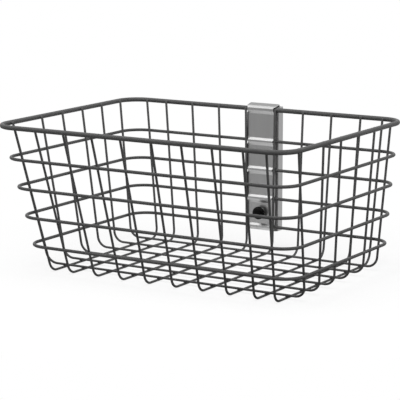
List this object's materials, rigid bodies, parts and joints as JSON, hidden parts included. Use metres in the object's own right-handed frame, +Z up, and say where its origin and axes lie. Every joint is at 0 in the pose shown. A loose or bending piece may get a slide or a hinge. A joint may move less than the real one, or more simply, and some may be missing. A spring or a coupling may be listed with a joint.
{
  "type": "cart wire basket",
  "caption": "Tapered welded wire basket with a thick rim wire, side hoops and an upright back wall that carries a pressed metal clamp bracket with a black thumb screw.",
  "frame": {"origin": "middle of the bounding box in plan, on the surface that the floor wires stand on", "axes": "+X along the basket, +Y towards the cart behind the bracket, +Z up"},
  "size_m": [0.4156, 0.3278, 0.1943],
  "materials": {
    "powder_coat": "satin graphite powder coat",
    "bracket_metal": "satin silver sheet metal",
    "zinc_hardware": "bright zinc plated",
    "knob_plastic": "black moulded plastic"
  },
  "bodies": {
    "basket": {"rim_wire": "powder_coat", "hoop_wire_1": "powder_coat", "hoop_wire_2": "powder_coat", "hoop_wire_3": "powder_coat", "hoop_wire_4": "powder_coat", "cross_wire_01": "powder_coat", "cross_wire_02": "powder_coat", "cross_wire_03": "powder_coat", "cross_wire_04": "powder_coat", "cross_wire_05": "powder_coat", "cross_wire_06": "powder_coat", "cross_wire_07": "powder_coat", "cross_wire_08": "powder_coat", "cross_wire_09": "powder_coat", "cross_wire_10": "powder_coat", "long_wire_1": "powder_coat", "long_wire_2": "powder_coat", "long_wire_3": "powder_coat", "long_wire_4": "powder_coat", "long_wire_5": "powder_coat", "long_wire_6": "powder_coat", "clamp_plate": "bracket_metal", "back_channel": "bracket_metal", "weld_nut": "zinc_hardware"},
    "screw_washer": {"knob_washer": "zinc_hardware"},
    "thumb_screw": {"thumb_knob": "knob_plastic", "screw_stud": "zinc_hardware"}
  },
  "joints": [
    {"name": "screw_travel", "type": "slide", "parent": "basket", "child": "screw_washer", "axis": [0, -1, 0], "range_m": [0, 0.003]},
    {"name": "knob_turn", "type": "hinge", "parent": "screw_washer", "child": "thumb_screw", "pos_m": [0, 0.137, 0.05122], "axis": [0, -1, 0], "range_deg": [0, 2160]}
  ],
  "couplings": [
    {"joint": "knob_turn", "follows": "screw_travel", "rad_per_m": 6283.2}
  ]
}
